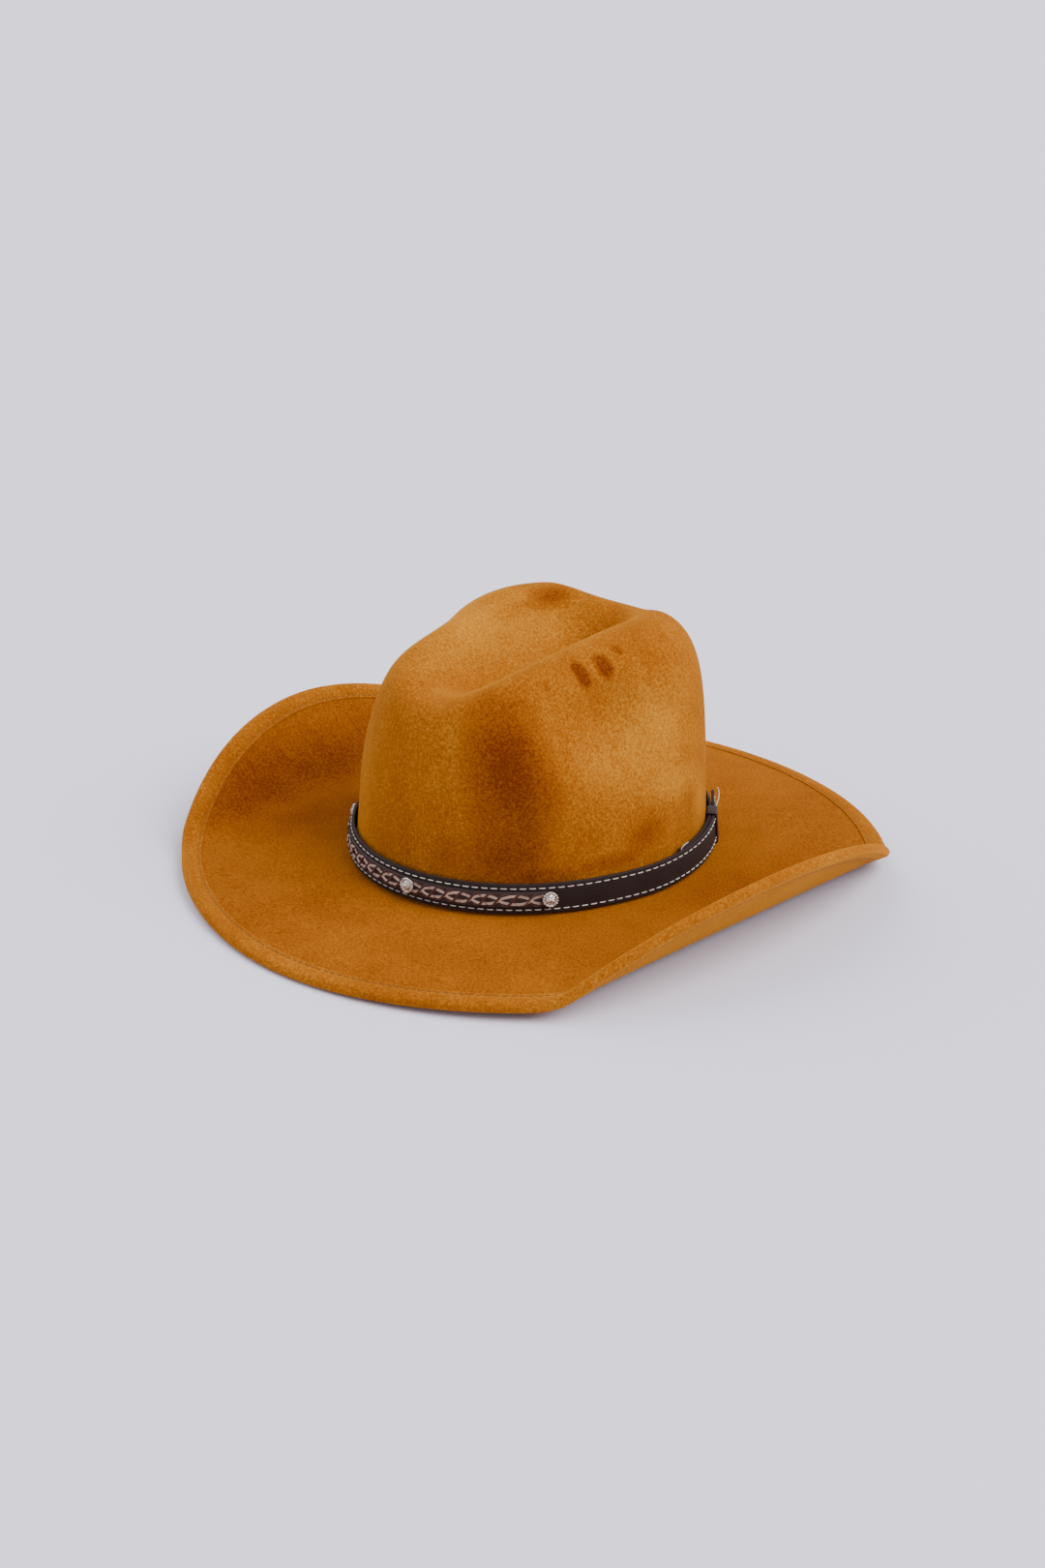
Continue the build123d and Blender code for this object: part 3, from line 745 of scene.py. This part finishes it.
def sweatband_mesh():
    middle = (SWEAT_OUTSIDE + SWEAT_INSIDE) / 2
    half = SWEAT_THICKNESS / 2
    rows = []
    heights = np.linspace(-BRIM_THICKNESS, SWEAT_HEIGHT - BRIM_THICKNESS - half, 24)
    for height in heights:
        rows.append(wall_ring(SWEAT_OUTSIDE, height, 360))
    for k in range(1, 8):
        angle = pi * k / 8
        rows.append(wall_ring(middle - half * cos(angle), heights[-1] + half * sin(angle), 360))
    for height in heights[::-1]:
        rows.append(wall_ring(SWEAT_INSIDE, height, 360))
    return ring_mesh("sweatband", np.array(rows))


dress(link("sweatband_leather", sweatband_mesh(), "hat", ["sweatband"]), SWEAT_LOOK)
turns = np.linspace(0, 360, 1441)
seam_height = SWEAT_SEAM_RISE - BRIM_THICKNESS
line = wall_point(turns, seam_height, -SWEAT_INSIDE)
inward = wall_point(turns, seam_height, -SWEAT_INSIDE - MM) - line
row = stitch_row((line, inward / MM), length=3.0 * MM, gap=1.0 * MM, radius=0.26 * MM, sink=0.4 * MM)
mesh = strands_mesh("sweat_seam", row)
seam = link("sweatband_stitching_thread", mesh, "hat", ["sweatband_stitching"])
dress(seam, BROWN_THREAD)
dress(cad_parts["sweatband_seam_tape"], SWEAT_LOOK)

# =============================================================== hatband
def rounded_outline(low, high, inner, outer, radius, steps=4):
    """(height, depth) points round a strip's section"""
    corners = [(high, outer, 0), (low, outer, 90), (low, inner, 180), (high, inner, 270)]
    outline = []
    for height, depth, begin in corners:
        centre_h = height - radius if height == high else height + radius
        centre_d = depth - radius if depth == outer else depth + radius
        for k in range(steps + 1):
            t = radians(begin + 90 * k / steps)
            outline.append((centre_h + radius * cos(t), centre_d + radius * sin(t)))
    return outline


def strap_sweep(name, start, end, outline, step=1.0):
    count = max(4, round(abs(end - start) / step))
    headings = np.linspace(start, end, count + 1)
    sections = np.stack([strap_point(headings, h, d) for h, d in outline], 1)
    return swept_mesh(name, sections)


strap_outline = rounded_outline(0, STRAP_HEIGHT, 0, STRAP_THICKNESS, 0.5 * MM)
strap_mesh = strap_sweep("hatband_strap", INNER_END, 360 + TAIL_END, strap_outline, 0.8)
strap = link("hatband_strap_leather", strap_mesh, "hatband", ["hatband_strap"])
dress(strap, STRAP_LOOK)
# the strap is lighter near its top and bottom edges: rubbed edge wear and a painted highlight
rise = places(strap)[:, 2] - BRIM_LEVEL - STRAP_LIFT
edge = np.minimum(np.abs(rise), np.abs(STRAP_HEIGHT - rise))
paint(strap, "edge_wear_and_highlight", 1 - ease(0.2 * MM, 0.9 * MM, edge))

seam_headings = np.linspace(INNER_END + 50, 360 + TAIL_END - 1.5, 2400)
for label, height in (("upper", STRAP_HEIGHT - SEAM_INSET), ("lower", SEAM_INSET)):
    line = strap_point(seam_headings, height, STRAP_THICKNESS)
    outward = strap_point(seam_headings, height, STRAP_THICKNESS + MM) - line
    row = stitch_row((line, outward / MM), length=3.9 * MM, gap=1.0 * MM, radius=0.3 * MM, sink=0.35 * MM)
    node = "hatband_stitching_" + label
    dress(link(node + "_thread", strands_mesh(node, row), "hatband", [node]), WHITE_THREAD)

keeper_outline = rounded_outline(
    -KEEPER_CLEARANCE - KEEPER_LEATHER,
    STRAP_HEIGHT + KEEPER_CLEARANCE + KEEPER_LEATHER,
    -STRAP_THICKNESS - LAP_CLEARANCE - KEEPER_CLEARANCE - KEEPER_LEATHER,
    STRAP_THICKNESS + KEEPER_CLEARANCE + KEEPER_LEATHER,
    0.8 * MM,
)
keeper_hole = rounded_outline(
    -KEEPER_CLEARANCE,
    STRAP_HEIGHT + KEEPER_CLEARANCE,
    -STRAP_THICKNESS - LAP_CLEARANCE - KEEPER_CLEARANCE,
    STRAP_THICKNESS + KEEPER_CLEARANCE,
    0.4 * MM,
)


# across the keeper: share of its half width, how far its outside is pulled in to round its edges
KEEPER_PROFILE = ((-1, 0.25), (-0.93, 0.03), (-0.5, 0), (0, 0), (0.5, 0), (0.93, 0.03), (1, 0.25))


def keeper_mesh():
    half = np.degrees(KEEPER_WIDTH / 2 / SIDE_RADIUS)
    rings = []
    for share, pull in KEEPER_PROFILE:
        heading = 360 + KEEPER_HEADING + half * share
        outer = [strap_point(np.array(heading), h, d) for h, d in keeper_outline]
        inner = [strap_point(np.array(heading), h, d) for h, d in keeper_hole]
        rings.append([o + (i - o) * pull for o, i in zip(outer, inner)])
    for share in (1, 0.5, 0, -0.5, -1):
        heading = 360 + KEEPER_HEADING + half * share
        rings.append([strap_point(np.array(heading), h, d) for h, d in keeper_hole])
    return ring_mesh("hatband_keeper", np.array(rings))


keeper = link("hatband_keeper_leather", keeper_mesh(), "keeper", ["hatband_keeper"])
dress(keeper, KEEPER_LOOK)
paint(keeper, "edge_wear_and_highlight", np.zeros(len(keeper.data.vertices)))


# =============================================================== braid
PER_DEGREE = (SIDE_RADIUS + END_RADIUS) / 2 * pi / 180
bed_low, bed_high = (STRAP_HEIGHT - BRAID_HEIGHT) / 2, (STRAP_HEIGHT + BRAID_HEIGHT) / 2
bed_outline = rounded_outline(bed_low, bed_high, STRAP_THICKNESS, STRAP_THICKNESS + BRAID_BED, 0.4 * MM)
bed_mesh = strap_sweep("braid_bed", 360 + BRAID_FROM, 360 + BRAID_TO, bed_outline, 0.8)
dress(link("hatband_braid_bed", bed_mesh, "hatband", ["hatband_braid"]), BED_HAIR)


def braid_strand(wave, radius, shift=0.0):
    """a strand along the braid: wave gives its swing across and its lift for each turn of the pattern"""
    start, end = 360 + BRAID_FROM, 360 + BRAID_TO
    count = round((end - start) * PER_DEGREE / (0.6 * MM))
    headings = np.linspace(start, end, count)
    across, lift = wave(pi * (headings - start) * PER_DEGREE / BRAID_PITCH)
    depth = STRAP_THICKNESS + BRAID_BED + radius * 0.6 + lift
    return capsule(strap_point(headings, STRAP_HEIGHT / 2 + across + shift, depth), radius, 8)


def link_wave(side):
    """one edge of the chain of long loops"""

    def wave(angle):
        swing = np.sin(angle)
        loop = np.sign(swing) * np.abs(swing) ** 0.62
        over = 0.5 + 0.5 * np.cos(2 * angle + side * pi / 2)
        return side * 2.1 * MM * loop, 0.45 * MM * over * np.abs(np.cos(angle)) + 0.1 * MM

    return wave


def wrap_wave(phase):
    """dark hair that winds round the loops and crosses between them"""

    def wave(angle):
        return 3.2 * MM * np.sin(2 * angle + phase), 0.25 * MM + 0.25 * MM * np.cos(2 * angle + phase)

    return wave


WRAP_PHASE = 0.4
cream, brown = [], []
for side in (-1, 1):
    cream += [braid_strand(link_wave(side), 0.24 * MM, k * 0.46 * MM) for k in (-1, 0, 1)]
for phase in (WRAP_PHASE, WRAP_PHASE + pi):
    brown += [braid_strand(wrap_wave(phase + k * 0.22), 0.27 * MM) for k in (-1, 0, 1)]
for label, strands, look in (("cream", cream, CREAM_HAIR), ("brown", brown, BROWN_HAIR)):
    mesh = strands_mesh("braid_" + label, strands)
    dress(link("hatband_braid_" + label, mesh, "hatband", ["hatband_braid"]), look)


# =============================================================== conchos
# from the shank outwards over the rim to the middle: share of the radius, height in millimetres
CONCHO_PROFILE = (
    (0.25, -3.3), (0.25, 0.0), (0.9, 0.0), (1.0, 0.18), (1.0, 0.42), (0.93, 0.78), (0.84, 0.95), (0.75, 0.86),
    (0.68, 0.62), (0.6, 0.72), (0.52, 1.15), (0.42, 1.55), (0.3, 1.85), (0.16, 2.02), (0.04, 2.08),
)
CONCHO_FLUTES = 12
# rings of beads: share of the radius, how many, bead radius and height in millimetres
CONCHO_BEADS = ((0.86, 16, 0.62, 0.85), (0.42, 8, 0.5, 1.5), (0.0, 1, 0.8, 2.0))


def concho_mesh(heading):
    """scalloped, domed stud with a ring of beads and a fluted middle"""
    heading = np.array(heading)
    middle = strap_point(heading, STRAP_HEIGHT / 2, STRAP_THICKNESS)
    above = strap_point(heading, STRAP_HEIGHT / 2 + MM, STRAP_THICKNESS) - middle
    turn = np.radians(heading)
    beside = np.array([np.cos(turn), np.sin(turn), 0])
    out = np.cross(beside, above)
    out /= np.linalg.norm(out)
    up = np.cross(out, beside)
    seat = BRAID_THICKNESS + 0.1 * MM
    angle = np.linspace(0, 2 * pi, 12 * CONCHO_FLUTES, endpoint=False)
    flutes = 0.5 + 0.5 * np.cos(CONCHO_FLUTES * angle)
    rings = []
    for reach, height in CONCHO_PROFILE:
        radius = CONCHO_RADIUS * reach
        raised = height * MM
        if reach > 0.7:
            radius = radius * (0.95 + 0.05 * flutes)
            raised = raised + 0.22 * MM * flutes * (height > 0.5)
        elif height > 0.6:
            raised = raised + 0.16 * MM * flutes
        flat = np.cos(angle)[:, None] * beside + np.sin(angle)[:, None] * up
        ring = middle + flat * np.asarray(radius)[..., None]
        rings.append(ring + out * np.asarray(seat + raised)[..., None])
    stud = bmesh.new()
    stud.from_mesh(swept_mesh("concho", np.array(rings)))
    for reach, count, radius, height in CONCHO_BEADS:
        for k in range(count):
            t = 2 * pi * (k + 0.5) / count
            spot = middle + (cos(t) * beside + sin(t) * up) * CONCHO_RADIUS * reach
            place = Matrix.Translation(Vector(spot + out * (seat + height * MM)))
            bmesh.ops.create_uvsphere(stud, u_segments=12, v_segments=8, radius=radius * MM, matrix=place)
    mesh = bpy.data.meshes.new("concho")
    stud.to_mesh(mesh)
    stud.free()
    mesh.polygons.foreach_set("use_smooth", [True] * len(mesh.polygons))
    return mesh


for place, heading in CONCHO_HEADINGS.items():
    node = "concho_" + place
    dress(link(node + "_metal", concho_mesh(360 + heading), "hatband", [node]), STUD_LOOK)

# =============================================================== loose thread ends
# the thread ends that stick out above the strap: heading, height and depth of each point
LOOSE_ENDS = (
    ((457.0, 13.2, -0.4), (457.6, 15.8, -0.2), (458.8, 17.2, 0.3), (460.4, 17.9, 1.0)),
    (
        (493.0, 12.8, 1.8), (494.5, 14.6, 3.0), (496.0, 16.0, 4.0),
        (498.0, 17.2, 4.4), (499.5, 18.6, 4.0), (499.0, 20.0, 3.2),
    ),
)
LOOSE_RADIUS = 0.28 * MM


def smooth_line(points, count=24):
    """a smooth line that passes through all the points"""
    points = np.array(points)
    share = np.linspace(0, len(points) - 1, count)
    line = []
    for value in share:
        k = min(int(value), len(points) - 2)
        t = value - k
        a, b, c, d = [points[min(max(k + j, 0), len(points) - 1)] for j in (-1, 0, 1, 2)]
        bend, twist = 2 * a - 5 * b + 4 * c - d, 3 * b - a - 3 * c + d
        line.append(0.5 * (2 * b + (c - a) * t + bend * t**2 + twist * t**3))
    return np.array(line)


ends = []
for points in LOOSE_ENDS:
    route = [strap_point(np.array(h), up * MM, out * MM) for h, up, out in points]
    ends.append(capsule(smooth_line(route), LOOSE_RADIUS))
loose = link("hatband_loose_threads", strands_mesh("loose_threads", ends), "hatband")
dress(loose, WHITE_THREAD)

# =============================================================== stage
FLOOR_TONE = (0.82, 0.81, 0.95)
bpy.ops.mesh.primitive_plane_add(size=80, location=(0, 0, -0.0002))
floor = bpy.context.object
floor.name = "studio_floor"
n = Nodes("studio_floor")
grain = n.noise(3, 2)
floor_colour = n.mix(grain, FLOOR_TONE, tuple(c * 1.02 for c in FLOOR_TONE))
dress(floor, n.finish(floor_colour, 0.9, Specular_IOR_Level=0.1))

world = bpy.data.worlds.new("studio")
bpy.context.scene.world = world
world.use_nodes = True
sky = world.node_tree.nodes["Background"].inputs
sky["Color"].default_value = (0.93, 0.92, 0.97, 1)
sky["Strength"].default_value = 0.74


def soft_light(name, towards, strength, spread):
    """a broad far-off light; towards is the direction from the hat to the light"""
    lamp = bpy.data.lights.new(name, "SUN")
    lamp.energy = strength
    lamp.angle = radians(spread)
    holder = bpy.data.objects.new(name, lamp)
    bpy.context.scene.collection.objects.link(holder)
    holder.rotation_mode = "QUATERNION"
    holder.rotation_quaternion = (-Vector(towards)).to_track_quat("-Z", "Y")


soft_light("key_light", (0.62, 0.30, 0.78), 3.6, 50)
soft_light("side_light", (-0.70, -0.10, 0.70), 1.3, 60)

# =============================================================== camera
heading, elevation = radians(VIEW_HEADING), radians(VIEW_ELEVATION)
back = Vector((sin(heading) * cos(elevation), -cos(heading) * cos(elevation), sin(elevation)))
right = Vector((cos(heading), sin(heading), 0))
up = back.cross(right)
roll = radians(VIEW_ROLL)
right, up = right * cos(roll) + up * sin(roll), up * cos(roll) - right * sin(roll)
eye = Vector((0, 0, BRIM_LEVEL)) + back * VIEW_DISTANCE + right * VIEW_RIGHT + up * VIEW_UP
lens = bpy.data.cameras.new("camera")
lens.lens = LENS
lens.sensor_width = SENSOR
lens.clip_start = 0.05
camera = bpy.data.objects.new("camera", lens)
bpy.context.scene.collection.objects.link(camera)
camera.matrix_world = Matrix.Translation(eye) @ Matrix((right, up, back)).transposed().to_4x4()
bpy.context.scene.camera = camera
